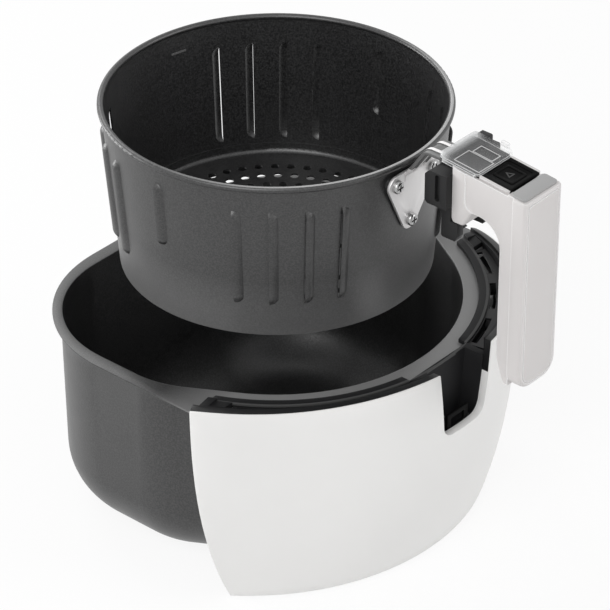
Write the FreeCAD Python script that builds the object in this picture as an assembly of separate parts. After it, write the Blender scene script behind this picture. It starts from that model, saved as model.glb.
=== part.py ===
# Drawer of a hot-air fryer: a pan with a curved front panel, and a perforated basket
# held above it by a latching handle. Millimetres, +Z up, handle towards -Y.
# The origin is on the table under the basket's axis.
import FreeCAD
import Part
import math
import os

V = FreeCAD.Vector

# Clearances shared by the pieces that fit together
running_gap = 0.3
seat_gap = 0.1
hole_gap = 0.2
tiny = 1e-6

# Pan: a pressed steel bowl with a flat flange
pan_height = 132.0
pan_sheet = 1.2
pan_half_width = 122.0
pan_back = 104.0
pan_front_radius = 112.5
pan_front_angle = 60.0
pan_side_radius = 60.0
pan_back_radius = 72.0
pan_floor_radius = 40.0
pan_wall_draft = 2.0
flange_width = 9.0
flange_back_radius = 88.0
flange_front_width = 12.5
ear_front = -64.0
ear_radius = 4.0

# Front panel: a tall curved shell whose lower edge tucks in under the front
panel_radius = 138.6
panel_thickness = 5.0
panel_end_angle = 73.5
panel_crown = 13.5
panel_crown_reach = 133.2
panel_bottom = 2.0
panel_tuck = 22.0
panel_tuck_power = 2.4
panel_shares = (0.0, 0.16, 0.36, 0.62, 1.0)
panel_bottom_radius = 148.0
panel_bottom_angle = 53.5
notch_top_half_width = 24.0
notch_half_width = 18.0
notch_depth = 34.0
notch_radius = 8.0
notch_lining = 0.8
ledge_depth = 9.0
ledge_thickness = 3.5
ledge_screw_angles = (-49.0, -30.5, 30.5, 49.0)

# Top frame: black trays between the flange and the panel, with a well for the latch
frame_reach = 18.0
frame_wall = 2.4
frame_lip = 3.0
frame_lip_height = 2.5
frame_depth = 20.0
frame_end = -50.0
frame_pad_length = 13.0
frame_screw_bite = 2.0
frame_top_drop = 1.5
tray_wall = 3.0
tray_drop = 6.0
tray_end_wall = 5.0
tray_end_rise = 3.4
window_width = 4.0
window_margin = 0.8
window_span = 13.0
window_angles = (-54.6, -37.3, -20.0, 20.0, 37.3, 54.6)
boss_wall = 1.6
well_depth = 39.0
well_corner = 2.0
catch_height = 9.0
catch_half_width = 9.4
catch_plate_thickness = 1.5
catch_window_half_width = 6.0
catch_bar_height = 3.0

# Basket: a drawn steel wall with a rolled rim, and a perforated floor set inside it
basket_radius = 105.0
rim_roll = 4.0
basket_base_radius = 94.3
basket_height = 104.7
basket_sheet = 1.0
basket_lifted = 129.7
floor_rise = 12.0
floor_lip = 7.0
floor_bend = 4.0
floor_hole = 5.3
floor_ring_pitch = 10.8
floor_hole_pitch = 10.1
floor_rings = 7

# Louvres pressed out of the basket wall: angles from the front, towards +X
louvre_rise = 2.5
louvre_curve = 7.0
louvre_length = 65.0
louvre_middle = -50.5
short_louvre_length = 43.0
short_louvre_middle = -34.5
louvre_pitch = 12.0
louvres_in_group = 4
front_group_angle = 45.5
back_group_angle = 133.2
short_louvre_angle = 91.5

# Bracket: a bent steel plate from the basket wall to the handle
bracket_thickness = 1.8
bracket_standoff = 0.8
bracket_lobe = 6.5
wall_boss = 4.9
bracket_screw_side = 16.0
bracket_screw_top = -13.0
bracket_screw_bottom = -42.5
neck_half_width = 9.0
neck_foot = -9.0
neck_top = 11.5
neck_crest = -119.0
neck_end = -160.0
neck_bend = 5.0
neck_set = 0.6
neck_rib_width = 2.6
neck_rib_rise = 0.8
neck_rib_side = 4.6
screw_shank = 4.0
screw_head = 8.0
screw_head_height = 3.0
screw_slot = 1.2
screw_dome = 0.5
screw_cross = 0.6
low_head = 6.4
low_head_height = 2.1
flat_head_height = 1.2

# Handle: arm and grip, with the black yoke at its root and a cover on its front
yoke_half_width = 20.0
yoke_back = -128.0
yoke_front = -146.0
yoke_leg_back = -137.0
yoke_leg_front = -148.5
yoke_bottom = -12.0
yoke_leg_bottom = -33.0
yoke_leg_half_width = 15.5
yoke_leg_width = 5.5
yoke_slot_width = 3.4
yoke_slot_length = 17.0
yoke_slot_depth = 2.6
yoke_slot_corner = 1.6
yoke_edge = 3.0
yoke_round = 1.6
yoke_hook_height = 6.0
stop_round = 1.0
lever_room = 2.0
stop_width = 4.0
stop_back = -136.0
stop_step = -144.0
stop_front = -149.5
stop_height = 20.0
stop_low_height = 16.5
handle_half_width = 16.0
handle_root = -143.5
handle_seam = -187.5
handle_front = -197.0
handle_bottom = -113.5
arm_underside = -10.5
root_underside = -21.0
grip_inside = -178.3
finger_arch = 16.0
handle_edge = 2.0
collar_width = 10.0
collar_bevel = 5.0
collar_bevel_depth = 1.4
side_recess = 0.5
recess_curve = 6.0
recess_tail = 12.0
grip_toe = 4.0
grip_heel = 16.0
grip_heel_radius = 14.0
root_slope_back = 9.0
root_slope_front = 15.0
root_round = 3.0
cover_half_width = 16.8
cover_corner = 11.0
cover_edge = 2.5
cover_line_inset = 2.6
cover_line_depth = 0.5
cover_line_width = 0.7
cover_overhang = 0.8
cover_screw_heights = (-48.0, -88.0)
cover_screw_depth = 4.0
cover_screw_bite = 4.0
pocket_half_width = 11.0
pocket_back = -146.5
pocket_front = -184.0
pocket_floor = -7.0
post_radius = 3.2
post_side = 7.2
post_y = -155.0
post_bite = 8.0

# Sloped top of the handle: track, bezel, button, guard and trim share this plane
top_slope = 5.6
top_pivot = -162.0
top_height = 15.5
track_half_width = 15.0
track_thickness = 2.2
track_back = -134.0
track_corner = 1.5
track_panels = ((-12.0, 1.0, -160.0, -142.5, 0.4), (2.2, 9.7, -158.0, -144.5, 0.8))
bezel_back = -162.0
bezel_front = -183.2
rebate_width = 1.0
rebate_height = 1.4
button_half_width = 7.2
button_back = -165.5
button_front = -179.9
button_recess = 0.3
button_height = 7.0
button_flange = 1.6
button_flange_height = 1.4
button_corner = 1.5
button_dish = 0.4
button_dish_margin = 1.6
bezel_step_side = 3.2
bezel_step = 2.2
bezel_step_depth = 0.5
guard_half_width = 16.5
guard_wall = 1.5
guard_height = 3.8
guard_back = -134.0
guard_front = -163.0
guard_corner = 3.2
guard_round = 0.8
tab_width = 2.6
tab_length = 6.0
tab_rise = 2.0
tab_round = 1.2
trim_half_width = 15.0
trim_back = -185.2
trim_front = -195.2
trim_thickness = 1.4
trim_corner = 2.0

# Latch: a hooked lever on a cross pin, pushed by the button and returned by a coil
latch_half_width = 3.0
latch_pin_y = -150.0
latch_pin_z = -1.0
latch_pin_radius = 1.5
latch_boss = 3.6
latch_tip = -36.0
hook_back = -133.0
hook_front = -136.8
hook_barb = 4.4
hook_round = 0.8
hook_barb_height = 3.1
latch_push_y = -172.0
latch_arm = 4.0
coil_radius = 3.0
coil_wire = 0.8
coil_turns = 4
coil_facets = 8
pad_front = 4.0
pad_back = 6.0
pin_gap = 0.05
pin_bearing = 2.0

# Sizes worked out from the ones above
rim_z = pan_height + running_gap + rim_roll + basket_lifted
flange_bottom = pan_height - pan_sheet
frame_bottom = pan_height - frame_depth
frame_radius = panel_radius - panel_thickness
flange_front_radius = pan_front_radius + flange_front_width
panel_center = frame_radius - flange_front_radius - frame_reach
frame_lip_radius = flange_front_radius - frame_lip
tray_radius = flange_front_radius + tray_wall
tray_floor = pan_height - tray_drop
notch_bottom = pan_height - notch_depth
well_floor = pan_height - well_depth
far = 2 * panel_radius
cover_screw_seat = grip_inside - cover_screw_depth
wall_top_radius = basket_radius - rim_roll / 2
wall_slope = (wall_top_radius - basket_base_radius) / (basket_height - rim_roll / 2)
wall_angle = math.degrees(math.atan(wall_slope))
neck_underside = neck_top - bracket_thickness / 2 - neck_rib_rise
yoke_top = neck_underside - seat_gap
screw_hole = screw_shank / 2 + hole_gap


def plan(z):
    return lambda u, v: V(u, v, z)


def side(x):
    return lambda u, v: V(x, u, v)


def front(y):
    return lambda u, v: V(u, y, v)


def outline(corners, place):
    """Closed wire through corners (u, v, radius), each rounded by a tangent arc."""
    points = [V(u, v, 0) for u, v, radius in corners]
    spans = []
    for index, (u, v, radius) in enumerate(corners):
        here = points[index]
        back = (points[index - 1] - here).normalize()
        ahead = (points[(index + 1) % len(points)] - here).normalize()
        if radius == 0 or (back + ahead).Length < tiny:
            spans.append((here, None, here))
            continue
        half = back.getAngle(ahead) / 2
        reach = radius / math.tan(half)
        center = here + (back + ahead).normalize() * (radius / math.sin(half))
        middle = center + (here - center).normalize() * radius
        spans.append((here + back * reach, middle, here + ahead * reach))
    edges = []
    for index, (first, middle, last) in enumerate(spans):
        before = spans[index - 1][2]
        if before.distanceToPoint(first) > tiny:
            edges.append(Part.LineSegment(place(before.x, before.y), place(first.x, first.y)).toShape())
        if middle is not None:
            stops = [place(p.x, p.y) for p in (first, middle, last)]
            edges.append(Part.Arc(*stops).toShape())
    return Part.Wire(edges)


def plan_prism(corners, bottom, top):
    return Part.Face(outline(corners, plan(bottom))).extrude(V(0, 0, top - bottom))


def side_prism(corners, left, right):
    return Part.Face(outline(corners, side(left))).extrude(V(right - left, 0, 0))


def front_prism(corners, back, ahead):
    return Part.Face(outline(corners, front(back))).extrude(V(0, ahead - back, 0))


def box(left, right, y_low, y_high, bottom, top):
    return Part.makeBox(right - left, y_high - y_low, top - bottom, V(left, y_low, bottom))


def cylinder(radius, height, base, axis=V(0, 0, 1)):
    return Part.makeCylinder(radius, height, base, axis)


def rounded_box(half_width, y_low, y_high, bottom, top, radius):
    corners = [(x, y, radius) for x, y in ((-half_width, y_low), (half_width, y_low),
                                           (half_width, y_high), (-half_width, y_high))]
    return plan_prism(corners, bottom, top)


def revolved(corners):
    """Solid of revolution about the basket's axis from corners (radius, z, rounding)."""
    profile = Part.Face(outline(corners, lambda u, v: V(u, 0, v)))
    return profile.revolve(V(0, 0, 0), V(0, 0, 1), 360)


def strip(points, thickness, bend):
    """Corners of a bent sheet's section: the middle line's points, thickened both ways."""
    left, right = [], []
    for index, (u, v) in enumerate(points):
        here = V(u, v, 0)
        ways = []
        if index > 0:
            ways.append((here - V(*points[index - 1], 0)).normalize())
        if index < len(points) - 1:
            ways.append((V(*points[index + 1], 0) - here).normalize())
        normals = [V(-way.y, way.x, 0) for way in ways]
        normal = (normals[0] + normals[-1]).normalize()
        reach = thickness / 2 / normal.dot(normals[0])
        turn = ways[0].cross(ways[-1]).z
        radius = bend if len(ways) == 2 else 0
        grow = math.copysign(thickness / 2, turn) if radius else 0
        left.append((here.x + normal.x * reach, here.y + normal.y * reach, radius - grow))
        right.append((here.x - normal.x * reach, here.y - normal.y * reach, radius + grow))
    return left + right[::-1]


def raised(shape):
    """Basket pieces are drawn with z = 0 at the rim, then lifted to the rest pose."""
    shape.translate(V(0, 0, rim_z))
    return shape


def tilted(shape):
    shape.rotate(V(0, top_pivot, top_height), V(1, 0, 0), top_slope)
    return shape


def fused(first, *others):
    return first.fuse(list(others)).removeSplitter()


def save(name, shape):
    solids = shape.Solids
    assert solids and all(solid.isValid() for solid in solids), name
    whole = solids[0] if len(solids) == 1 else Part.makeCompound(solids)
    whole.exportStep("parts/%s.step" % name)
    print(name, len(solids), "solids", round(sum(s.Volume for s in solids) / 1000, 2), "cm3")


# Pan

def pan_outline(inset, z):
    """Plan outline of the bowl at height z, drawn inset from its opening."""
    turn = math.radians(pan_front_angle)
    width = pan_half_width - inset
    back = pan_back - inset
    nose = pan_front_radius - inset
    shoulder = (width * math.sin(turn) - nose) / math.cos(turn)
    side_radius = pan_side_radius - inset
    back_radius = pan_back_radius - inset
    corners = [(0, -nose / math.cos(turn), nose), (width, shoulder, side_radius), (width, back, back_radius),
               (-width, back, back_radius), (-width, shoulder, side_radius)]
    return outline(corners, plan(z))


def pan_form(skin, floor):
    """The bowl as a tapered prism with a broad rounding round its floor."""
    ends = [pan_outline(pan_wall_draft - skin, floor), pan_outline(-skin, pan_height)]
    form = Part.makeLoft(ends, True, True)
    rounded = [edge for edge in form.Edges if edge.BoundBox.ZMax < floor + seat_gap]
    return form.makeFillet(pan_floor_radius - pan_sheet + skin, rounded)


def flange_face():
    reach = pan_half_width + flange_width
    back = pan_back + flange_width
    ears = Part.Face(outline([(-reach, ear_front, ear_radius), (reach, ear_front, ear_radius),
                              (reach, back, flange_back_radius), (-reach, back, flange_back_radius)],
                             plan(flange_bottom)))
    round_front = Part.Face(Part.Wire(Part.makeCircle(flange_front_radius, V(0, 0, flange_bottom))))
    half = Part.makePlane(4 * reach, 2 * reach, V(-2 * reach, -2 * reach, flange_bottom))
    return ears.fuse(round_front.common(half)).removeSplitter()


def pan_bowl():
    flange = flange_face().extrude(V(0, 0, pan_sheet))
    panel_end = panel_center - frame_radius * math.cos(math.radians(panel_end_angle)) + running_gap
    beside = box(-far, far, -far, panel_end, 0, far)
    flange = flange.cut(beside.cut(disc(frame_radius - running_gap, panel_center, 0, far)))
    bowl = pan_form(pan_sheet, 0.0).fuse(flange).cut(pan_form(0.0, pan_sheet))
    holes = [cylinder(screw_hole, pan_sheet, V(x, y, flange_bottom)) for x, y in frame_screw_places()]
    return bowl.cut(holes)


# Front panel and top frame

def arc_band(outer, inner, center, angle, z):
    """Closed wire of a curved band about (0, center), open to the front by angle each way."""
    turn = math.radians(angle)
    left, right, middle = -turn, turn, 0.0

    def at(radius, way):
        return V(radius * math.sin(way), center - radius * math.cos(way), z)

    edges = [Part.Arc(at(outer, left), at(outer, middle), at(outer, right)).toShape(),
             Part.LineSegment(at(outer, right), at(inner, right)).toShape(),
             Part.Arc(at(inner, right), at(inner, middle), at(inner, left)).toShape(),
             Part.LineSegment(at(inner, left), at(outer, left)).toShape()]
    return Part.Wire(edges)


def crown_cut(drop):
    """Everything above the arched top edge that the panel and the frame share."""
    reach = panel_crown_reach
    base = pan_height - drop
    arch = Part.Ellipse(V(0, 0, 0), reach, panel_crown)
    upper = Part.ArcOfEllipse(arch, 0, math.pi).toShape()
    upper.rotate(V(0, 0, 0), V(1, 0, 0), 90)
    upper.translate(V(0, 0, base))
    places = ((-reach, base), (-far, base), (-far, far), (far, far), (far, base), (reach, base))
    ends = [V(x, 0, z) for x, z in places]
    lines = [Part.LineSegment(a, b).toShape() for a, b in zip(ends, ends[1:])]
    face = Part.Face(Part.Wire(Part.__sortEdges__([upper] + lines)))
    face.translate(V(0, -far, 0))
    return face.extrude(V(0, far, 0))


def panel_form(gap):
    """The panel's shell, lofted from its tucked lower edge to its top, and grown inwards by gap."""
    wires = []
    top = pan_height + panel_crown + 1
    for share in panel_shares:
        tuck = (1 - share) ** panel_tuck_power
        radius = panel_radius + (panel_bottom_radius - panel_radius) * tuck
        apex = panel_radius - panel_center - panel_tuck * tuck
        center = radius - apex
        angle = panel_end_angle + (panel_bottom_angle - panel_end_angle) * tuck
        height = panel_bottom + (top - panel_bottom) * share
        wires.append(arc_band(radius, radius - panel_thickness - gap, center, angle, height))
    return Part.makeLoft(wires, True, False)


def notch(inset, bottom, radius, back):
    """The tapered U that the handle's root drops into, from the front to back."""
    top = pan_height + panel_crown
    upper = notch_top_half_width - inset
    lower = notch_half_width - inset
    corners = [(-lower, bottom, radius), (lower, bottom, radius), (upper, top, 0),
               (upper, 2 * top, 0), (-upper, 2 * top, 0), (-upper, top, 0)]
    return front_prism(corners, -far, back)


def ledge_places():
    radius = frame_radius - ledge_depth / 2
    turns = [math.radians(angle) for angle in ledge_screw_angles]
    return [(radius * math.sin(turn), panel_center - radius * math.cos(turn)) for turn in turns]


def front_panel():
    ledge_bottom = frame_bottom - ledge_thickness
    ledge = Part.Face(arc_band(panel_radius - panel_thickness / 2, frame_radius - ledge_depth, panel_center,
                               panel_bottom_angle, ledge_bottom))
    ledge = ledge.extrude(V(0, 0, ledge_thickness))
    room = notch_top_half_width + frame_wall
    ledge = ledge.cut(box(-room, room, -far, 0, 0, pan_height))
    holes = [cylinder(screw_hole, ledge_thickness, V(x, y, ledge_bottom)) for x, y in ledge_places()]
    panel = panel_form(0.0).cut([crown_cut(0.0), notch(0.0, notch_bottom, notch_radius, 0.0)])
    return fused(panel, ledge).cut(holes)


def disc(radius, center, bottom, top):
    return cylinder(radius, top - bottom, V(0, center, bottom))


def frame_screw_places():
    y = frame_end - frame_pad_length / 2
    inner = math.sqrt(frame_lip_radius ** 2 - y ** 2)
    outer = math.sqrt(frame_radius ** 2 - (y - panel_center) ** 2)
    return [(-(inner + outer) / 2, y), ((inner + outer) / 2, y)]


def tray(bottom, inner, end):
    """Curved space of the trays above bottom, between their walls, ending short of the frame's ends."""
    space = disc(frame_radius - frame_wall, panel_center, bottom, far).cut(disc(inner, 0, 0, far))
    return space.cut(box(-far, far, frame_end - end, far, 0, far))


def tray_windows():
    """Curved slots through the trays' floors, along their inner walls."""
    low = tray_floor - frame_wall
    inner = tray_radius + window_margin
    band = disc(inner + window_width, 0, low, tray_floor).cut(disc(inner, 0, low, tray_floor))
    slots = []
    for middle in window_angles:
        ends = [math.radians(middle + half) for half in (-window_span / 2, window_span / 2)]
        corners = [V(0, 0, low)] + [V(far * math.sin(end), -far * math.cos(end), low) for end in ends]
        wedge = Part.Face(Part.makePolygon(corners + corners[:1])).extrude(V(0, 0, frame_wall))
        slots.append(band.common(wedge))
    return slots


def front_wall():
    """Inside face of the well's low front wall, behind the panel."""
    return panel_center - frame_radius + frame_wall


def well():
    """Box in the middle of the frame that takes the yoke's legs and the hook."""
    outer = notch_top_half_width + frame_wall
    back = -flange_front_radius - seat_gap
    block = box(-outer, outer, -far, back, well_floor - frame_wall, pan_height + frame_lip_height)
    block = block.common(disc(frame_radius, panel_center, 0, far))
    hollow = notch(notch_lining, well_floor, well_corner, back - frame_wall)
    hollow = hollow.cut(box(-outer, outer, -far, front_wall(), 0, notch_bottom))
    return block.cut(hollow)


def top_frame():
    top = pan_height + panel_crown
    under = tray_floor - frame_wall
    outer = notch_top_half_width + frame_wall
    body = disc(frame_radius, panel_center, frame_bottom, top).cut(disc(frame_lip_radius, 0, 0, far))
    hollow = tray(0, flange_front_radius + seat_gap + frame_wall, frame_pad_length)
    hollow = hollow.cut(box(-far, far, -far, far, under, 2 * far))
    cuts = [box(-far, far, frame_end, far, 0, far), disc(flange_front_radius + seat_gap, 0, 0, pan_height),
            box(-far, far, ear_front - running_gap, far, 0, pan_height),
            disc(tray_radius, 0, pan_height + frame_lip_height, far),
            tray(tray_floor, tray_radius, frame_pad_length), hollow, crown_cut(frame_top_drop),
            tray(pan_height + tray_end_rise, tray_radius, tray_end_wall), box(-outer, outer, -far, 0, 0, far)]
    for shape in cuts + tray_windows():
        body = body.cut(shape)
    body = body.fuse(well()).removeSplitter()
    for x, y in ledge_places():
        body = body.fuse(cylinder(screw_hole + boss_wall, under - frame_bottom, V(x, y, frame_bottom)))
    body = body.removeSplitter()
    holes = [cylinder(screw_hole, frame_screw_bite + hole_gap, V(x, y, pan_height))
             for x, y in frame_screw_places()]
    holes += [cylinder(screw_hole, 2 * frame_wall, V(x, y, frame_bottom)) for x, y in ledge_places()]
    for shape in holes + [panel_form(seat_gap)]:
        body = body.cut(shape)
    return body


def catch_plate():
    """Steel plate in the well whose bar the hook snaps under."""
    wall = front_wall()
    top = notch_bottom + catch_height
    plate = box(-catch_half_width, catch_half_width, wall + seat_gap, wall + seat_gap + catch_plate_thickness,
                well_floor + seat_gap, top)
    window = box(-catch_window_half_width, catch_window_half_width, wall, wall + 2 * catch_plate_thickness,
                 notch_bottom, top - catch_bar_height)
    return plate.cut(window)


def screw(length, head=screw_head, height=screw_head_height):
    """Pan-head screw pointing down from z = 0, its head above with a cross recess."""
    dome = height * screw_dome
    top = revolved([(0, 0, 0), (head / 2, 0, 0), (head / 2, height, dome), (0, height, 0)])
    shank = cylinder(screw_shank / 2, length, V(0, 0, -length))
    arm = head * screw_cross / 2
    bars = [box(-arm, arm, -screw_slot / 2, screw_slot / 2, height - dome, height),
            box(-screw_slot / 2, screw_slot / 2, -arm, arm, height - dome, height)]
    return top.fuse(shank).removeSplitter().cut(bars)


def screws_up(places, head_top, length):
    """Screws driven upwards, with their heads under a face at head_top."""
    group = []
    for x, y in places:
        piece = screw(length, low_head, low_head_height)
        piece.rotate(V(0, 0, 0), V(1, 0, 0), 180)
        piece.translate(V(x, y, head_top))
        group.append(piece)
    return Part.makeCompound(group)


# Basket

def wall_radius(z):
    """Outside of the basket wall at height z below the rim."""
    return wall_top_radius + wall_slope * (z + rim_roll / 2)


def on_wall(shape, angle, z):
    """Move a shape from local axes (across, outwards, up the wall) to the basket wall."""
    shape.rotate(V(0, 0, 0), V(0, 0, 1), 180)
    shape.rotate(V(0, 0, 0), V(1, 0, 0), wall_angle)
    shape.translate(V(0, -wall_radius(z), z))
    shape.rotate(V(0, 0, 0), V(0, 0, 1), angle)
    return shape


def capsule(radius, reach):
    """Upright rod with round ends, set behind the wall so that it stands proud by the louvre's rise."""
    axis = louvre_rise - louvre_curve
    rod = cylinder(radius, 2 * reach, V(0, axis, -reach))
    ends = [Part.makeSphere(radius, V(0, axis, end)) for end in (-reach, reach)]
    return rod.fuse(ends).removeSplitter()


def louvre_parts(length):
    """A pressed-out flap and the window behind it, in wall axes with the slit at x = 0."""
    half_chord = math.sqrt(louvre_curve ** 2 - (louvre_curve - louvre_rise) ** 2)
    reach = length / 2 - half_chord
    inner = louvre_curve - basket_sheet
    keep = box(-2 * louvre_curve, 0, -basket_sheet / 2, 2 * louvre_rise, -length, length)
    flap = capsule(louvre_curve, reach).common(keep).cut(capsule(inner, reach))
    through = box(-2 * louvre_curve, 0, -3 * basket_sheet, 2 * louvre_rise, -length, length)
    return flap, capsule(inner, reach).common(through)


def louvre_places():
    spread = [louvre_pitch * (step - (louvres_in_group - 1) / 2) for step in range(louvres_in_group)]
    long_ones = [sign * group + turn for group in (front_group_angle, back_group_angle)
                 for sign in (-1, 1) for turn in spread]
    places = [(angle, louvre_middle, louvre_length) for angle in long_ones]
    places += [(sign * short_louvre_angle, short_louvre_middle, short_louvre_length) for sign in (-1, 1)]
    return places


def bracket_screw_places():
    return [(-bracket_screw_side, bracket_screw_top), (bracket_screw_side, bracket_screw_top),
            (0, bracket_screw_bottom)]


def on_plate(shape, x, z):
    """Move a shape from local axes (z outwards) to the bracket plate's back face."""
    shape.rotate(V(0, 0, 0), V(1, 0, 0), 90)
    shape.translate(V(x, 0, z))
    return seated_plate(shape)


def seated_plate(shape):
    """The plate is drawn in y = 0 with its back face there, then leaned onto the wall."""
    shape.rotate(V(0, 0, 0), V(1, 0, 0), wall_angle)
    shape.translate(V(0, -wall_radius(0) - bracket_standoff, 0))
    return shape


def basket_wall():
    top = wall_radius(0)
    corners = [(basket_base_radius, -basket_height, 0), (top, 0, 0), (top - basket_sheet, 0, 0),
               (basket_base_radius - basket_sheet, -basket_height, 0)]
    wall = revolved(corners).cut(disc(2 * basket_radius, 0, -rim_roll / 2, rim_roll))
    roll = Part.makeTorus(basket_radius - rim_roll / 2, rim_roll / 2, V(0, 0, -rim_roll / 2))
    wall = wall.fuse(roll).removeSplitter()
    flaps, windows = [], []
    for angle, z, length in louvre_places():
        flap, window = louvre_parts(length)
        flaps.append(on_wall(flap, angle, z))
        windows.append(on_wall(window, angle, z))
    wall = wall.cut(windows).fuse(flaps).removeSplitter()
    inside = revolved([(0, -basket_height, 0), (basket_base_radius - basket_sheet / 2, -basket_height, 0),
                       (top - basket_sheet / 2, 0, 0), (0, 0, 0)])
    depth = 2 * bracket_lobe
    bosses = [on_plate(cylinder(wall_boss, depth, V(0, 0, -depth)), x, z).cut(inside)
              for x, z in bracket_screw_places()]
    holes = [on_plate(cylinder(screw_hole, 2 * depth, V(0, 0, -depth)), x, z)
             for x, z in bracket_screw_places()]
    return raised(wall.fuse(bosses).removeSplitter().cut(holes))


def basket_floor():
    bottom = -basket_height + floor_rise
    inner = basket_sheet + seat_gap
    low = wall_radius(bottom) - inner
    high = wall_radius(bottom + floor_lip) - inner
    corners = [(0, bottom, 0), (low, bottom, floor_bend), (high, bottom + floor_lip, 0),
               (high - basket_sheet, bottom + floor_lip, 0),
               (low - basket_sheet, bottom + basket_sheet, floor_bend - basket_sheet),
               (0, bottom + basket_sheet, 0)]
    plate = revolved(corners)
    holes = [cylinder(floor_hole / 2, basket_sheet, V(0, 0, bottom))]
    for ring in range(1, floor_rings + 1):
        radius = ring * floor_ring_pitch
        count = round(2 * math.pi * radius / floor_hole_pitch)
        for step in range(count):
            turn = 2 * math.pi * (step + 0.5) / count
            place = V(radius * math.cos(turn), radius * math.sin(turn), bottom)
            holes.append(cylinder(floor_hole / 2, basket_sheet, place))
    return raised(plate.cut(Part.makeCompound(holes)))


# Bracket and handle

def neck_points(plate_y):
    """Middle line of the bent neck in the side view, from the plate to the handle."""
    start = plate_y - bracket_thickness / 2
    return [(start, bracket_screw_top), (start - neck_set, neck_foot),
            (neck_crest, neck_top), (neck_end, neck_top)]


def handle_bracket():
    centers = [V(x, 0, z) for x, z in bracket_screw_places()]
    triangle = Part.Wire(Part.makePolygon(centers + centers[:1]))
    plate = Part.Face(triangle.makeOffset2D(bracket_lobe)).extrude(V(0, -bracket_thickness, 0))
    stem = box(-neck_half_width, neck_half_width, -bracket_thickness, 0, bracket_screw_top, neck_foot)
    plate = seated_plate(plate.fuse(stem).removeSplitter())
    points = neck_points(-wall_radius(neck_foot) - bracket_standoff)
    neck = side_prism(strip(points, bracket_thickness, neck_bend), -neck_half_width, neck_half_width)
    band = strip(points[1:], bracket_thickness + 2 * neck_rib_rise, neck_bend)
    ends = [box(-far, far, neck_crest, 0, -far, neck_foot + neck_rib_width),
            box(-far, far, -far, handle_root + seat_gap, -far, far)]
    ribs = [side_prism(band, x - neck_rib_width / 2, x + neck_rib_width / 2).cut(ends)
            for x in (-neck_rib_side, neck_rib_side)]
    holes = [on_plate(cylinder(screw_hole, 2 * bracket_lobe, V(0, 0, -bracket_lobe)), x, z)
             for x, z in bracket_screw_places()]
    holes += [cylinder(screw_hole, 2 * bracket_thickness, V(x, post_y, neck_top - bracket_thickness))
              for x in (-post_side, post_side)]
    return raised(fused(plate, neck, *ribs).cut(holes))


def bracket_screws():
    group = []
    for x, z in bracket_screw_places():
        piece = screw(bracket_thickness + bracket_standoff + basket_sheet)
        piece.translate(V(0, 0, bracket_thickness))
        group.append(on_plate(piece, x, z))
    return raised(Part.makeCompound(group))


def guard_stop():
    """Stepped block on the right of the yoke, beside the guard."""
    inside = guard_half_width + running_gap
    corners = [(stop_back, 0, 0), (handle_root, 0, 0), (stop_front, yoke_top, stop_round),
               (stop_front, stop_low_height, stop_round), (stop_step, stop_low_height, 0),
               (stop_step, stop_height, stop_round), (stop_back, stop_height, stop_round)]
    return side_prism(corners, inside, inside + stop_width)


def latch_yoke():
    under_root = root_underside - seat_gap
    corners = [(yoke_back, yoke_top - yoke_edge, yoke_round),
               (yoke_back, yoke_bottom + yoke_round, yoke_round),
               (yoke_leg_back + yoke_edge, yoke_bottom - yoke_edge, yoke_round),
               (yoke_leg_back, yoke_bottom - 2 * yoke_edge, yoke_round),
               (yoke_leg_back, yoke_leg_bottom, yoke_round),
               (yoke_leg_front + yoke_round, yoke_leg_bottom, 0),
               (yoke_leg_front, yoke_leg_bottom + yoke_edge, yoke_round), (yoke_leg_front, under_root, 0),
               (handle_root + seat_gap, under_root, 0), (handle_root + seat_gap, yoke_top, 0),
               (yoke_back - yoke_edge, yoke_top, yoke_round)]
    block = side_prism(corners[::-1], -yoke_half_width, yoke_half_width)
    low = 2 * yoke_leg_bottom
    front_side = 2 * yoke_leg_front
    between = yoke_leg_half_width - yoke_leg_width
    spaces = [(-between, between), (-yoke_half_width, -yoke_leg_half_width),
              (yoke_leg_half_width, yoke_half_width)]
    cuts = [box(left, right, front_side, 0, low, yoke_bottom) for left, right in spaces]
    room = latch_half_width + lever_room
    cuts.append(box(-room, room, front_side, 0, low, yoke_hook_height))
    middle = (yoke_back + yoke_front) / 2
    ends = (middle - yoke_slot_width / 2, middle + yoke_slot_width / 2)
    half = yoke_slot_length / 2
    slot = [(ends[0], -half, yoke_slot_corner), (ends[1], -half, yoke_slot_corner),
            (ends[1], half, yoke_slot_corner), (ends[0], half, yoke_slot_corner)]
    inside = yoke_half_width - yoke_slot_depth
    cuts += [side_prism(slot, inside, yoke_half_width), side_prism(slot, -yoke_half_width, -inside)]
    return raised(fused(block.cut(cuts), guard_stop()))


def slope_z(y, drop):
    """Height on the handle's sloped top at y, drop below the track's surface."""
    turn = math.radians(top_slope)
    return top_height - drop / math.cos(turn) + (y - top_pivot) * math.tan(turn)


def side_shapes():
    """Shallow recesses on both sides of the arm and grip, and the bevels of the collar behind them."""
    high = 2 * top_height
    low = 2 * handle_bottom
    edge = handle_root - collar_width
    face = handle_half_width - side_recess
    recess = [(edge, high, 0), (edge, arm_underside + handle_edge, recess_curve),
              (edge - recess_tail, arm_underside, 0), (edge - recess_tail, low, 0),
              (2 * handle_seam, low, 0), (2 * handle_seam, high, 0)]
    slim = handle_half_width - collar_bevel_depth
    bevel_end = handle_root - collar_bevel
    wide = 2 * handle_half_width
    bevel = [(slim, 0), (slim, handle_root), (handle_half_width, bevel_end), (wide, bevel_end), (wide, 0)]
    shapes = [side_prism(recess, face, 2 * face), side_prism(recess, -2 * face, -face)]
    for sign in (-1, 1):
        shapes.append(plan_prism([(sign * x, y, 0) for x, y in bevel], low, high))
    return shapes


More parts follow.
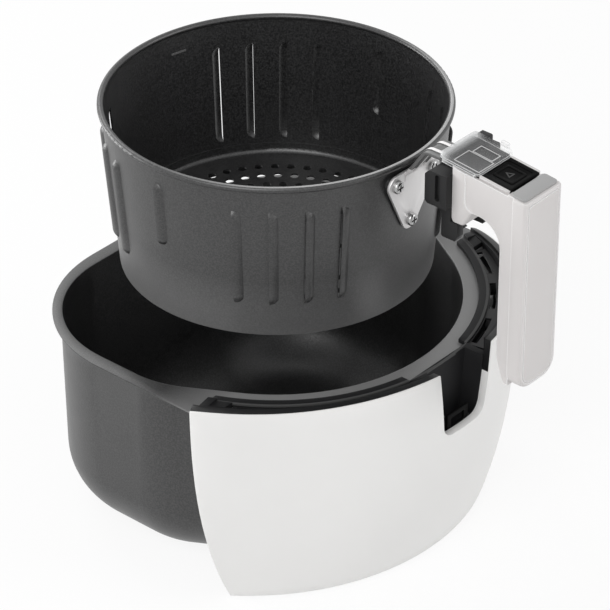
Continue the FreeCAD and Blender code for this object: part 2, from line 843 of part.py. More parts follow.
def handle_body():
    drop = track_thickness + seat_gap
    step = bezel_front - seat_gap
    trim_drop = trim_thickness + seat_gap
    corners = [(handle_root, slope_z(handle_root, drop), 0), (step, slope_z(step, drop), 0),
               (step, slope_z(step, trim_drop), 0), (handle_seam, slope_z(handle_seam, trim_drop), 0),
               (handle_seam, handle_bottom, 0), (handle_seam + grip_toe, handle_bottom, grip_toe),
               (grip_inside, handle_bottom + grip_heel, grip_heel_radius),
               (grip_inside, arm_underside, finger_arch),
               (handle_root - root_slope_front, arm_underside, root_round),
               (handle_root - root_slope_back, root_underside, root_round),
               (handle_root, root_underside, root_round)]
    body = side_prism(corners, -handle_half_width, handle_half_width)
    body = body.makeFillet(handle_edge, long_edges(body, handle_half_width)).cut(side_shapes())
    lid = 2 * top_height
    behind = pocket_back - seat_gap
    neck_room = neck_half_width + hole_gap
    lever = latch_half_width + lever_room
    cuts = [box(-pocket_half_width, pocket_half_width, pocket_front, pocket_back, pocket_floor, lid),
            box(-neck_room, neck_room, behind, 0, neck_underside, lid),
            box(-lever, lever, behind, 0, pocket_floor, lid)]
    post_height = neck_top - bracket_thickness / 2 - seat_gap - pocket_floor
    places = [V(x, post_y, pocket_floor) for x in (-post_side, post_side)]
    posts = [cylinder(post_radius, post_height, place) for place in places]
    body = body.cut(cuts).fuse(posts).removeSplitter()
    reach = pocket_half_width + pin_bearing
    holes = [cylinder(screw_hole, post_height, place + V(0, 0, boss_wall)) for place in places]
    pin_start = V(-reach, latch_pin_y, latch_pin_z)
    holes.append(cylinder(latch_pin_radius + pin_gap, 2 * reach, pin_start, V(1, 0, 0)))
    return raised(body.cut(holes + cover_screw_holes()))


def long_edges(body, half_width):
    """Edges of the two side faces of a side-view prism, except along its flat top and seam."""
    chosen = []
    for edge in body.Edges:
        bounds = edge.BoundBox
        flat = abs(abs(bounds.XMin) - half_width) < tiny and bounds.XLength < tiny
        below = bounds.ZMax < slope_z(handle_seam, track_thickness) - track_thickness
        if flat and below and bounds.YMax > handle_seam + tiny:
            chosen.append(edge)
    return chosen


def cover_screw_holes():
    """Stepped holes through the grip, from its inside face to the cover."""
    along = V(0, 1, 0)
    holes = []
    for z in cover_screw_heights:
        holes.append(cylinder(screw_hole, grip_inside - handle_seam, V(0, handle_seam, z), along))
        holes.append(cylinder(screw_head / 2 + hole_gap, cover_screw_depth, V(0, cover_screw_seat, z), along))
    return holes


def cover_screws():
    group = []
    for z in cover_screw_heights:
        piece = screw(cover_screw_seat - handle_seam + cover_screw_bite - hole_gap)
        piece.rotate(V(0, 0, 0), V(1, 0, 0), -90)
        piece.translate(V(0, cover_screw_seat, z))
        group.append(piece)
    return raised(Part.makeCompound(group))


def cover_outline(inset):
    width = cover_half_width - inset
    top = slope_z(handle_seam, trim_thickness + seat_gap) - inset
    bottom = handle_bottom - cover_overhang + inset
    corner = cover_corner - inset
    return [(-width, bottom, corner), (width, bottom, corner),
            (width, top, trim_corner), (-width, top, trim_corner)]


def handle_cover():
    cover = front_prism(cover_outline(0), handle_seam - seat_gap, handle_front)
    edges = [edge for edge in cover.Edges if edge.BoundBox.YMax < handle_front + tiny]
    cover = cover.makeFillet(cover_edge, edges)
    deep = handle_front + cover_line_depth
    line = front_prism(cover_outline(cover_line_inset), handle_front, deep)
    line = line.cut(front_prism(cover_outline(cover_line_inset + cover_line_width), handle_front, deep))
    above = tilted(box(-far, far, -far, 0, top_height - trim_thickness - seat_gap, far))
    bite = cover_screw_bite
    holes = [cylinder(screw_hole, bite, V(0, handle_seam - bite, z), V(0, 1, 0)) for z in cover_screw_heights]
    return raised(cover.cut([line, above] + holes))


def handle_screws():
    group = []
    seat = neck_top + bracket_thickness / 2
    for x in (-post_side, post_side):
        piece = screw(bracket_thickness + post_bite, low_head, flat_head_height)
        piece.translate(V(x, post_y, seat))
        group.append(piece)
    return raised(Part.makeCompound(group))


def rebates(y_low, y_high):
    """Grooves under both edges of the track and bezel for the guard's lips."""
    bottom = top_height - track_thickness
    edge = track_half_width - rebate_width
    return [box(low, high, y_low, y_high, bottom, bottom + rebate_height)
            for low, high in ((-track_half_width, -edge), (edge, track_half_width))]


def guard_track():
    bottom = top_height - track_thickness
    plate = rounded_box(track_half_width, bezel_back + seat_gap, track_back, bottom, top_height, track_corner)
    panels = [box(left, right, low, high, top_height - depth, top_height)
              for left, right, low, high, depth in track_panels]
    return raised(tilted(plate.cut(rebates(bezel_back, track_back) + panels)))


def button_bezel():
    ring = rounded_box(track_half_width, bezel_front, bezel_back, top_height - track_thickness, top_height,
                       track_corner)
    gap = running_gap
    window = rounded_box(button_half_width + gap, button_front - gap, button_back + gap, 0, 2 * top_height,
                         button_corner + gap)
    step = rounded_box(button_half_width + bezel_step_side, button_front - bezel_step,
                       button_back + bezel_step, top_height - bezel_step_depth, 2 * top_height, bezel_step)
    return raised(tilted(ring.cut([window, step] + rebates(bezel_front, bezel_back))))


def release_button():
    top = top_height - button_recess
    cap = rounded_box(button_half_width, button_front, button_back, top - button_height, top, button_corner)
    grow = button_flange
    flange_top = top_height - track_thickness - running_gap
    flange = rounded_box(button_half_width + grow, button_front - grow, button_back + grow,
                         flange_top - button_flange_height, flange_top, button_corner)
    edge = button_dish_margin
    dish = rounded_box(button_half_width - edge, button_front + edge, button_back - edge,
                       top - button_dish, top, button_corner)
    return raised(tilted(cap.fuse(flange).removeSplitter().cut(dish)))


def domed(inset, bottom, top):
    """Block with rounded upright and upper edges, inset from the guard's outside."""
    corner = guard_corner - inset
    form = rounded_box(guard_half_width - inset, guard_front + inset, guard_back - inset, bottom, top, corner)
    rims = [edge for edge in form.Edges if edge.BoundBox.ZMin > top - tiny]
    return form.makeFillet(corner * guard_round, rims)


def button_guard():
    """Clear dome with a rounded top, its side lips hooked in the grooves of the track."""
    base = top_height + running_gap
    top = base + guard_height
    dome = domed(0, base, top).cut(domed(guard_wall, base, top - guard_wall))
    gap = running_gap
    foot = top_height - track_thickness + gap
    lip_top = foot + rebate_height - 2 * gap
    front_end = guard_front + guard_corner
    back_end = guard_back - guard_corner
    pieces = [dome]
    for sign in (-1, 1):
        low, high = sorted((sign * (track_half_width + gap), sign * guard_half_width))
        pieces.append(box(low, high, front_end, back_end, foot, base + guard_wall))
        low, high = sorted((sign * (track_half_width - rebate_width + gap), sign * guard_half_width))
        pieces.append(box(low, high, front_end, back_end, foot, lip_top))
    tab_end = front_end + tab_length
    tab = rounded_box(tab_width / 2, front_end, tab_end, top - guard_wall, top + tab_rise, tab_round)
    tab.translate(V(guard_half_width - tab_width / 2, 0, 0))
    return raised(tilted(fused(*pieces, tab)))


def top_trim():
    bottom = top_height - trim_thickness
    plate = rounded_box(trim_half_width, trim_front, trim_back, bottom, top_height, trim_corner)
    return raised(tilted(plate))


# Latch

def latch_push_z():
    """Top of the lever's pad, just under the button's sloped foot."""
    return slope_z(latch_push_y - latch_arm, button_recess + button_height) - hole_gap


def latch_hook():
    push = latch_push_z()
    half = latch_arm / 2
    shaft_top = latch_pin_z + half + hook_round
    barb = hook_front - hook_barb
    barb_top = latch_tip + hook_barb_height
    pad = (latch_push_y - pad_front, latch_push_y + pad_back)
    corners = [(hook_back, shaft_top, half), (hook_back, latch_tip, hook_round),
               (hook_front - hook_round, latch_tip, 0), (barb, barb_top - hook_round, 0), (barb, barb_top, 0),
               (hook_front, barb_top, 0), (hook_front, latch_pin_z - half, half),
               (latch_pin_y, latch_pin_z - half, 0), (pad[1], push - latch_arm, half),
               (pad[0], push - latch_arm, hook_round), (pad[0], push, hook_round), (pad[1], push, half),
               (latch_pin_y - half, shaft_top, half)]
    lever = side_prism(corners[::-1], -latch_half_width, latch_half_width)
    across = V(1, 0, 0)
    middle = V(0, latch_pin_y, latch_pin_z)
    boss = cylinder(latch_boss, 2 * latch_half_width, middle - across * latch_half_width, across)
    bore_start = middle - across * 2 * latch_half_width
    bore = cylinder(latch_pin_radius + pin_gap, 4 * latch_half_width, bore_start, across)
    return raised(fused(lever, boss).cut(bore))


def latch_pin():
    reach = pocket_half_width + pin_bearing - hole_gap
    return raised(cylinder(latch_pin_radius, 2 * reach, V(-reach, latch_pin_y, latch_pin_z), V(1, 0, 0)))


def latch_coil():
    """Return coil under the lever's front arm: one unbroken helical wire."""
    arm_bottom = latch_push_z() - latch_arm
    rise = arm_bottom - pocket_floor - coil_wire - 2 * seat_gap
    pitch = rise / coil_turns
    path = Part.makeHelix(pitch, rise, coil_radius)
    turns = [2 * math.pi * step / coil_facets for step in range(coil_facets + 1)]
    ring = [V(coil_radius + coil_wire / 2 * math.cos(t), 0, coil_wire / 2 * math.sin(t)) for t in turns]
    section = Part.Wire(Part.makePolygon(ring))
    wire = Part.Wire(path.Edges).makePipeShell([section], True, True)
    wire.translate(V(0, latch_push_y, pocket_floor + coil_wire / 2 + seat_gap))
    print("coil: least gap between turns", round(pitch - coil_wire, 2), "mm")
    return raised(wire)


os.makedirs("parts", exist_ok=True)
save("pan_bowl", pan_bowl())
save("front_panel", front_panel())
save("top_frame", top_frame())
save("catch_plate", catch_plate())
save("frame_screws", screws_up(frame_screw_places(), flange_bottom, pan_sheet + frame_screw_bite))
save("panel_screws", screws_up(ledge_places(), frame_bottom - ledge_thickness, ledge_thickness + frame_wall))
save("basket_wall", basket_wall())
save("basket_floor", basket_floor())
save("handle_bracket", handle_bracket())
save("bracket_screws", bracket_screws())
save("latch_yoke", latch_yoke())
save("handle_body", handle_body())
save("handle_cover", handle_cover())
save("handle_screws", handle_screws())
save("cover_screws", cover_screws())
save("guard_track", guard_track())
save("button_bezel", button_bezel())
save("release_button", release_button())
save("button_guard", button_guard())
save("top_trim", top_trim())
save("latch_hook", latch_hook())
save("latch_pin", latch_pin())
save("latch_coil", latch_coil())
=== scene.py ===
# %% [markdown]
# # The drawer of a hot-air fryer
#
# A dark non-stick pan with a white curved front stands on a pale table, and a round perforated
# basket hangs above it from its own latching handle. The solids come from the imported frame. This
# lesson gives them a camera, soft light, edges that catch the light, finishes that hold up close,
# and the small pieces that a plain solid lacks.

# %% Load the frame
import bmesh
import bpy
import math
from mathutils import Matrix, Vector


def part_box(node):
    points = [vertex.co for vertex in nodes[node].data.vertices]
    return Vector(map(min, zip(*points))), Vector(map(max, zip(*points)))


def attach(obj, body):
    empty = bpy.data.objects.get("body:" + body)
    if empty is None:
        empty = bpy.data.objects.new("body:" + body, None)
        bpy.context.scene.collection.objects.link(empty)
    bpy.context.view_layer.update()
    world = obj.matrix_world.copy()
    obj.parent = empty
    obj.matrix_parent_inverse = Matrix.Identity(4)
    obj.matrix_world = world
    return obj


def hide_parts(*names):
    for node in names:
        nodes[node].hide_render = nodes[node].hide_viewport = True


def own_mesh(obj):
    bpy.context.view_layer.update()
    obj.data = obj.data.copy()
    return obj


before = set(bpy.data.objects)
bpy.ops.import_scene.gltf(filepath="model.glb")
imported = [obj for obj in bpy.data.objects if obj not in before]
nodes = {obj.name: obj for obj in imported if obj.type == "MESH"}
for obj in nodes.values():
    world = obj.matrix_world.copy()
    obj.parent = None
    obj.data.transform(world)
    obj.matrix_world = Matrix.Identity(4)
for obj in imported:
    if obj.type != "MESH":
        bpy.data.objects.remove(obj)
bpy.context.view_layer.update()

# %% [markdown]
# ## The camera
#
# The object was seen through a long lens from the front left, about a third of the way up. A long
# lens keeps the basket's two rims almost parallel. A camera can be aimed by a constraint, but here it
# is placed by its bearing and height angle, so the same two angles can be read off any other view.

# %% Camera
BEARING = math.radians(-49.33)
HEIGHT_ANGLE = math.radians(32.78)
EYE = Vector((-1.3817, -1.2094, 1.3036))
FILM_WIDTH = 36.0
FOCAL_LENGTH = 212.5
BASKET_MIDDLE = Vector((0, 0, 0.25))

lens = bpy.data.cameras.new("long_lens")
lens.sensor_width = FILM_WIDTH
lens.lens = FOCAL_LENGTH
camera = bpy.data.objects.new("camera", lens)
camera.location = EYE
camera.rotation_euler = (math.pi / 2 - HEIGHT_ANGLE, 0.0, BEARING)
bpy.context.scene.collection.objects.link(camera)
bpy.context.scene.camera = camera
bpy.context.scene.view_settings.view_transform = "Standard"
print("camera to basket:", round((EYE - BASKET_MIDDLE).length, 3), "m")

# %% [markdown]
# ## Writing a finish as an expression
#
# A finish is a small sum: a dark coat plus a little speckle, a gloss that drops where the grain is
# deep. Blender keeps such sums as nodes, which can be joined by hand one link at a time. Here one
# class wraps a socket, so that the sum is typed as Python and the Math nodes follow by themselves.

# %% Sockets that can be added and multiplied
class Level:
    """One value that changes over a surface. Its operators add Math nodes."""

    def __init__(self, finish, socket):
        self.finish = finish
        self.socket = socket

    def math(self, operation, first, second):
        return self.finish.node("ShaderNodeMath", {"operation": operation}, {0: first, 1: second})

    def __add__(self, other):
        return self.math("ADD", self, other)

    def __sub__(self, other):
        return self.math("SUBTRACT", self, other)

    def __rsub__(self, other):
        return self.math("SUBTRACT", other, self)

    def __mul__(self, other):
        return self.math("MULTIPLY", self, other)

    def __gt__(self, other):
        return self.math("GREATER_THAN", self, other)

    def __lt__(self, other):
        return self.math("LESS_THAN", self, other)

    def __abs__(self):
        return self.math("ABSOLUTE", self, 0.0)

    def most(self, other):
        return self.math("MAXIMUM", self, other)

    __radd__ = __add__
    __rmul__ = __mul__


print("a level can be added, subtracted, multiplied and compared")

# %% [markdown]
# Every other node comes from one method of the finish itself: it sets what the node does first, and
# then fills its sockets with numbers or links. The short methods below it name the nodes that most
# finishes share, such as a soft grain or the place of a point along one axis of the solid.

# %% A finish under construction
EDGE_GAIN = 6.0
EDGE_SAMPLES = 6


class Finish:
    """A material under construction."""

    def __init__(self, name):
        self.material = bpy.data.materials.new(name)
        self.material.use_nodes = True
        self.tree = self.material.node_tree
        self.tree.nodes.clear()
        self.place = self.node("ShaderNodeTexCoord", output="Object")

    def node(self, kind, settings=None, inputs=None, output=0):
        made = self.tree.nodes.new(kind)
        for key, value in (settings or {}).items():
            setattr(made, key, value)
        for key, value in (inputs or {}).items():
            if isinstance(value, Level):
                self.tree.links.new(value.socket, made.inputs[key])
            else:
                made.inputs[key].default_value = value
        return None if output is None else Level(self, made.outputs[output])

    def grain(self, scale, detail=2.0, stretch=(1.0, 1.0, 1.0)):
        """Soft noise between 0 and 1, with about scale spots to the metre."""
        where = self.node("ShaderNodeMapping", {}, {"Vector": self.place, "Scale": stretch})
        return self.node("ShaderNodeTexNoise", {}, {"Vector": where, "Scale": scale, "Detail": detail})

    def along(self, axis):
        """How far along X, Y or Z a point of the solid lies, in metres."""
        return self.node("ShaderNodeSeparateXYZ", {}, {"Vector": self.place}, output=axis)

    def between(self, share, dark, light):
        """A colour that goes from dark to light as share goes from 0 to 1."""
        ends = [end if isinstance(end, Level) else (*end, 1.0) for end in (dark, light)]
        sockets = {0: share, 6: ends[0], 7: ends[1]}
        return self.node("ShaderNodeMix", {"data_type": "RGBA"}, sockets, output=2)

    def edges(self, radius):
        """Near 1 on an edge, where a normal softened over radius leaves the true one, and else 0."""
        true = self.node("ShaderNodeNewGeometry", output="Normal")
        soft = self.node("ShaderNodeBevel", {"samples": EDGE_SAMPLES}, {"Radius": radius})
        dot = {"operation": "DOT_PRODUCT"}
        turn = self.node("ShaderNodeVectorMath", dot, {0: true, 1: soft}, output="Value")
        return (1.0 - turn) * EDGE_GAIN

    def bump(self, height, depth):
        """A bumpy normal from a height of 0 to 1, depth metres deep."""
        return self.node("ShaderNodeBump", {}, {"Height": height, "Distance": depth, "Strength": 1.0})

    def close(self, **sockets):
        """The surface itself: its sockets are named as in Blender, with _ for a blank."""
        inputs = {key.replace("_", " "): value for key, value in sockets.items()}
        shader = self.node("ShaderNodeBsdfPrincipled", {}, inputs, output="BSDF")
        self.node("ShaderNodeOutputMaterial", {}, {"Surface": shader}, output=None)
        return self.material


print("finish tools ready")

# %% [markdown]
# ## Table and light
#
# The light is that of a white studio tent: even from all round. A picture of a real tent could be
# wrapped round the scene, but a plain white world gives the same soft light. A ray that only looks at
# the tent, straight or by way of a shiny or clear surface, finds it plain white. The light that the
# tent sheds is weaker, so that pale plastic keeps its tone.

# %% World
WHITE = (1.0, 1.0, 1.0, 1.0)
TENT_SHED = 0.42
TENT_SEEN = 1.0


class Tent(Finish):
    """The world's own node tree, written with the same two tools as a finish."""

    def __init__(self, name):
        self.world = bpy.data.worlds.new(name)
        self.world.use_nodes = True
        self.tree = self.world.node_tree
        self.tree.nodes.clear()


def looked_at(finish):
    """1 for a ray that looks at the surface, straight or by way of gloss or glass, and else 0."""
    looks = [finish.node("ShaderNodeLightPath", output=name)
             for name in ("Is Camera Ray", "Is Glossy Ray", "Is Transmission Ray")]
    return looks[0].most(looks[1]).most(looks[2])


tent = Tent("studio_tent")
shed = tent.node("ShaderNodeBackground", {}, {"Color": WHITE, "Strength": TENT_SHED})
plain = tent.node("ShaderNodeBackground", {}, {"Color": WHITE, "Strength": TENT_SEEN})
both = tent.node("ShaderNodeMixShader", {}, {0: looked_at(tent), 1: shed, 2: plain})
tent.node("ShaderNodeOutputWorld", {}, {"Surface": both}, output=None)
bpy.context.scene.world = tent.world
print("world nodes:", len(tent.tree.nodes))

# %% [markdown]
# Four square lamps shape that even light. The key lamp hangs over the left shoulder and the fill lamp
# is at the right. Two lamps behind the object draw the bright lines along its rims. Large lamps are
# used in place of points, because a small lamp leaves a hard spot on the coat.

# %% Lamps
LAMPS = (
    ("key_lamp", 19.5, 1.2, (-1.5, -0.5, 1.6), (0, 0, 0.15)),
    ("fill_lamp", 12.0, 1.2, (0.9, -1.8, 0.9), (0, 0, 0.15)),
    ("side_lamp", 20.0, 0.9, (-0.7, 1.6, 0.35), (0, 0, 0.12)),
    ("rim_lamp", 10.0, 1.0, (0.5, 1.6, 1.5), (0, 0, 0.2)))


def soft_lamp(name, power, size, at, towards):
    """A square lamp of a power in watts and a size in metres, at one point and facing another."""
    lamp = bpy.data.lights.new(name, "AREA")
    lamp.energy = power
    lamp.size = size
    holder = bpy.data.objects.new(name, lamp)
    holder.location = at
    holder.rotation_euler = (Vector(towards) - Vector(at)).to_track_quat("-Z", "Y").to_euler()
    bpy.context.scene.collection.objects.link(holder)


for lamp in LAMPS:
    soft_lamp(*lamp)

# %% [markdown]
# The table is a sheet of white paper, much larger than the view. Looked at, it is mostly plain white
# with a share of its own lit face, so that the object's shadow stays on it and grounds the object.
# More light would whiten the paper too, but it would also wash out the pale plastic.

# %% Table
TABLE_HALF = 6.0
PAPER_GLOW = 0.88
PAPER_CLOUDS = 3.0
PAPER_DARK = (0.93, 0.93, 0.93)
PAPER_LIGHT = (0.95, 0.95, 0.95)

bm = bmesh.new()
bmesh.ops.create_grid(bm, x_segments=1, y_segments=1, size=TABLE_HALF)
table_mesh = bpy.data.meshes.new("table")
bm.to_mesh(table_mesh)
bm.free()
table = bpy.data.objects.new("table", table_mesh)
bpy.context.scene.collection.objects.link(table)
paper = Finish("white_paper")
fibre = paper.between(paper.grain(PAPER_CLOUDS), PAPER_DARK, PAPER_LIGHT)
sheet = paper.node("ShaderNodeBsdfDiffuse", {}, {"Color": fibre})
glow = paper.node("ShaderNodeEmission", {}, {"Color": WHITE, "Strength": 1.0})
surface = paper.node("ShaderNodeMixShader", {}, {0: looked_at(paper) * PAPER_GLOW, 1: sheet, 2: glow})
paper.node("ShaderNodeOutputMaterial", {}, {"Surface": surface}, output=None)
table_mesh.materials.append(paper.material)
print("table:", len(table_mesh.polygons), "face")

# %% [markdown]
# ## Finishes
#
# The pan and the basket carry the same baked coat: nearly black, with a fine grey speckle under a
# millimetre across that breaks up every reflection. The grain also makes the coat a little rough.
# From outside it mirrors the white room and looks grey. From inside it mirrors only itself, and goes
# almost black. A mid grey would look right outside and too pale inside, so a dark one is used.

# %% Non-stick coat
COAT_DARK = (0.005, 0.005, 0.0053)
COAT_LIGHT = (0.034, 0.034, 0.0345)
COAT_GLOSS = 0.24
COAT_SHINE = 0.8
SPECKLE = 1000.0
SPECKLE_FROM = 0.38
SPECKLE_GAIN = 3.2
SPECKLE_DEPTH = 0.00008
SPECKLE_ROUGH = 0.2
BLOTCH = 60.0
BLOTCH_ROUGH = 0.08


def baked_coat(name, dark, light, painted_light_mask=None, painted_light_colour=None):
    """Dark coat with a fine speckle and a satin skin, with painted light: the second colour where the
    mask gives 1.
    """
    coat = Finish(name)
    fine = coat.grain(SPECKLE, detail=2.0)
    broad = coat.grain(BLOTCH, detail=1.0)
    colour = coat.between((fine - SPECKLE_FROM) * SPECKLE_GAIN, dark, light)
    # Painted light: a paler colour where the mask function gives 1.
    if painted_light_mask:
        colour = coat.between(painted_light_mask(coat), colour, painted_light_colour)
    return coat.close(
        Base_Color=colour,
        Roughness=fine * SPECKLE_ROUGH + broad * BLOTCH_ROUGH + COAT_GLOSS,
        Normal=coat.bump(fine, SPECKLE_DEPTH),
        Specular_IOR_Level=COAT_SHINE)


nonstick = baked_coat("nonstick_coat", COAT_DARK, COAT_LIGHT)
print("coat:", nonstick.name)

# %% [markdown]
# Painted light on the coat. The front of the pan's flange carries a painted highlight, the basket's
# outer foot a painted reflection that pales it towards the bottom, and the front of its rim a painted
# highlight as a pale line. The marks could be painted on by hand. Here each is found from its place
# on the solid, which needs no picture.

# %% Painted light on the coat
# Colours of the painted highlights, and the places on the pan and basket where painted light lies.
FLANGE_HIGHLIGHT = (0.19, 0.19, 0.19)
FLANGE_TOP = 0.1308
FLANGE_HIGHLIGHT_BACK = -0.02
FLANGE_HIGHLIGHT_FADE = 0.035
CREST_HIGHLIGHT = (0.4, 0.4, 0.4)
RIM_CREST = 0.2658
CREST_FADE = 0.08
FOOT_TOP = 0.2
FOOT_LOW = 0.11
FOOT_SHARE = 0.475
WALL_LEAN = 0.0847
WALL_MIDDLE = 0.0801


def flange_highlight(coat):
    """The front of the pan's flange, which carries a painted highlight."""
    return (coat.along("Z") > FLANGE_TOP) * ((FLANGE_HIGHLIGHT_BACK - coat.along("Y")) * (1.0 / FLANGE_HIGHLIGHT_FADE))


def basket_painted_light(coat):
    """A painted reflection paling the basket's outer foot, and a painted highlight on its rim's crest.
    """
    across, along, height = coat.along("X"), coat.along("Y"), coat.along("Z")
    middle = height * WALL_LEAN + WALL_MIDDLE
    outer_face = across * across + along * along > middle * middle
    # Painted reflection: the outer face of the foot is painted paler towards the bottom.
    foot = (FOOT_TOP - height) * (FOOT_SHARE / (FOOT_TOP - FOOT_LOW)) * outer_face
    # Painted highlight: a pale line along the front crest of the rim.
    crest_highlight = (height > RIM_CREST) * (along * (-1.0 / CREST_FADE))
    return foot.most(crest_highlight)


# The basket's coat carries a painted reflection on its foot and a painted highlight on its rim.
basket_coat = baked_coat("basket_coat", COAT_DARK, COAT_LIGHT, basket_painted_light, CREST_HIGHLIGHT)
# The pan's coat carries a painted highlight on the front of its flange.
pan_coat = baked_coat("pan_coat", COAT_DARK, COAT_LIGHT, flange_highlight, FLANGE_HIGHLIGHT)
print("worn coats:", basket_coat.name, pan_coat.name)

# %% [markdown]
# The white front, the handle and its cover are moulded plastic. Real mouldings are never one flat
# white: they have a faint cloudiness and a skin like very fine orange peel, seen only in highlights.
# The peel is far too fine to model, so a bumped normal carries it.

# %% Pale and black plastic
CLOUDS = 14.0
PEEL_GRAIN = 900.0
PEEL_ROUGH = 0.1
PEEL_POLISHED = 0.000008
PEEL_FINE = 0.00001
PEEL_COARSE = 0.00002


def moulding(name, dark, light, gloss, peel, shine, second=None, where=None):
    """Moulded plastic: a clouded colour, and a skin of fine peel that softens its highlights.

    second is another colour, for the places where the function where gives 1."""
    skin = Finish(name)
    cloud = skin.grain(CLOUDS, detail=3.0)
    fine = skin.grain(PEEL_GRAIN, detail=2.0)
    colour = skin.between(cloud, dark, light)
    if where:
        colour = skin.between(where(skin), colour, second)
    return skin.close(
        Base_Color=colour,
        Roughness=fine * PEEL_ROUGH + gloss,
        Normal=skin.bump(fine, peel),
        Specular_IOR_Level=shine)


print("peel:", PEEL_POLISHED, "to", PEEL_COARSE, "m deep")

# %% [markdown]
# Some mouldings have two tones, and the handle has a painted highlight. The black frame laps over the
# top edge of the white front and leaves only a thin white line. The frame round the button has a pale
# margin at each side. The handle's edges carry a painted highlight, paler than its faces. Each solid
# could be cut into two materials, but a second colour found by place keeps it in one piece.

# %% Places for a second tone
PANEL_AXIS = -0.0094
PANEL_LINE = 0.1378
PANEL_TOP = 0.125
BEZEL_BLACK = 0.0132
LIP_LINE = 0.1263
LIP_END = 0.1282
LIP_TOP = 0.1335
HIGHLIGHT_REACH = 0.0012


def lapped(skin):
    """The top edge of the front, but for a thin line along its outer face."""
    across, outwards = skin.along("X"), skin.along("Y") - PANEL_AXIS
    inside = across * across + outwards * outwards < PANEL_LINE ** 2
    return inside * (skin.along("Z") > PANEL_TOP)


def margins(skin):
    """The two sides of the bezel."""
    return abs(skin.along("X")) > BEZEL_BLACK


def lipped(skin):
    """A thin paler line along the top of the black frame's inner lip."""
    across, outwards = skin.along("X"), skin.along("Y")
    squared = across * across + outwards * outwards
    return (squared > LIP_LINE ** 2) * (squared < LIP_END ** 2) * (skin.along("Z") > LIP_TOP)


def edge_highlights(skin):
    """The edges of the handle, which carry a painted highlight."""
    return skin.edges(HIGHLIGHT_REACH)


print("lip line:", round((LIP_END - LIP_LINE) * 1000, 2), "mm wide")

# %% Pale plastics
BLACK = (0.008, 0.008, 0.0085)
PALE = (0.68, 0.665, 0.66)
# Colour of the painted highlight on the handle's edges.
EDGE_HIGHLIGHT = (0.95, 0.95, 0.95)

white_front = moulding(
    "white_front", (0.79, 0.785, 0.775), (0.83, 0.825, 0.815),
    gloss=0.34, peel=PEEL_FINE, shine=0.35, second=BLACK, where=lapped)
# The handle's pale edges are a painted highlight.
pale_handle = moulding(
    "pale_handle", (0.63, 0.608, 0.602), (0.67, 0.648, 0.642),
    gloss=0.4, peel=PEEL_FINE, shine=0.3, second=EDGE_HIGHLIGHT, where=edge_highlights)
grey_trim = moulding(
    "grey_trim", (0.36, 0.36, 0.36), (0.4, 0.4, 0.4),
    gloss=0.34, peel=PEEL_FINE, shine=0.3)
print("pale:", white_front.name, pale_handle.name, grey_trim.name)

# %% Black plastics
LIP = (0.07, 0.07, 0.07)
JET = ((0.004, 0.004, 0.004), (0.006, 0.006, 0.006))
SOOT = ((0.01, 0.01, 0.0105), (0.017, 0.017, 0.018))

black_frame = moulding(
    "black_moulding", *SOOT, gloss=0.42, peel=PEEL_COARSE, shine=0.12, second=LIP, where=lipped)
black_lever = moulding("black_lever", *SOOT, gloss=0.42, peel=PEEL_COARSE, shine=0.3)
charcoal = moulding(
    "charcoal_moulding", (0.01, 0.01, 0.0105), (0.016, 0.016, 0.0165),
    gloss=0.45, peel=PEEL_COARSE, shine=0.3)
deck_grey = moulding(
    "deck_moulding", (0.03, 0.03, 0.031), (0.04, 0.04, 0.041),
    gloss=0.35, peel=PEEL_FINE, shine=0.15)
black_button = moulding("black_button", *JET, gloss=0.3, peel=PEEL_POLISHED, shine=0.03)
two_tone = moulding(
    "two_tone_bezel", *JET, gloss=0.3, peel=PEEL_POLISHED, shine=0.03, second=PALE, where=margins)
print("black:", black_frame.name, black_lever.name, charcoal.name, deck_grey.name, black_button.name)

# %% [markdown]
# The bracket is stamped from steel sheet: it keeps fine streaks along the way it was rolled. The
# screws are plated, brighter and smoother, with a few duller patches from the driver. One function
# makes both, because only the stretch of the grain and the tones differ.

# %% Steel
RIB_SIDE = 0.0046
RIB_HALF = 0.0012
NECK_LOW = 0.2625
# Colour of the painted shade between the bracket's ribs.
VALLEY_SHADE = (0.2, 0.2, 0.2)
STAINS = 90.0
STAIN_ROUGH = 0.06
STREAK_ROUGH = 0.14
STREAK_DEPTH = 0.00001
ROLLED = (1.0, 1.0, 0.05)
EVEN = (1.0, 1.0, 1.0)


def shaded_valleys(metal):
    """The hollows between the ribs on the bracket's neck, where painted shade darkens the steel."""
    beside = abs(abs(metal.along("X")) - RIB_SIDE) > RIB_HALF
    return beside * (metal.along("Z") > NECK_LOW)


def steel(name, dark, light, gloss, stretch, streaks, shaded_hollows=None):
    """Bare steel whose grain is drawn out along one direction, with painted shade in the hollows."""
    metal = Finish(name)
    line = metal.grain(streaks, detail=3.0, stretch=stretch)
    stain = metal.grain(STAINS, detail=1.0)
    colour = metal.between(line, dark, light)
    # Painted shade: the hollows are darker.
    if shaded_hollows:
        colour = metal.between(shaded_hollows(metal), colour, VALLEY_SHADE)
    return metal.close(
        Base_Color=colour,
        Metallic=1.0,
        Roughness=line * STREAK_ROUGH + stain * STAIN_ROUGH + gloss,
        Normal=metal.bump(line, STREAK_DEPTH))


stamped_steel = steel(
    "stamped_steel", (0.7, 0.69, 0.69), (0.8, 0.79, 0.79),
    gloss=0.42, stretch=ROLLED, streaks=1400.0, shaded_hollows=shaded_valleys)
plated_steel = steel(
    "plated_steel", (0.3, 0.3, 0.3), (0.5, 0.5, 0.5), gloss=0.1, stretch=EVEN, streaks=700.0)
print("steel:", stamped_steel.name, plated_steel.name)

# %% [markdown]
# The guard over the button is clear plastic, about a millimetre and a half thick. Most light goes
# straight through its flat walls. Its rounded edges gather light, shown by a painted highlight that
# makes them solid and pale, and its back end is frosted. Glass that bends light would leave the deck
# under it unlit, so the guard is mostly see-through instead, and solid only where it is pale.

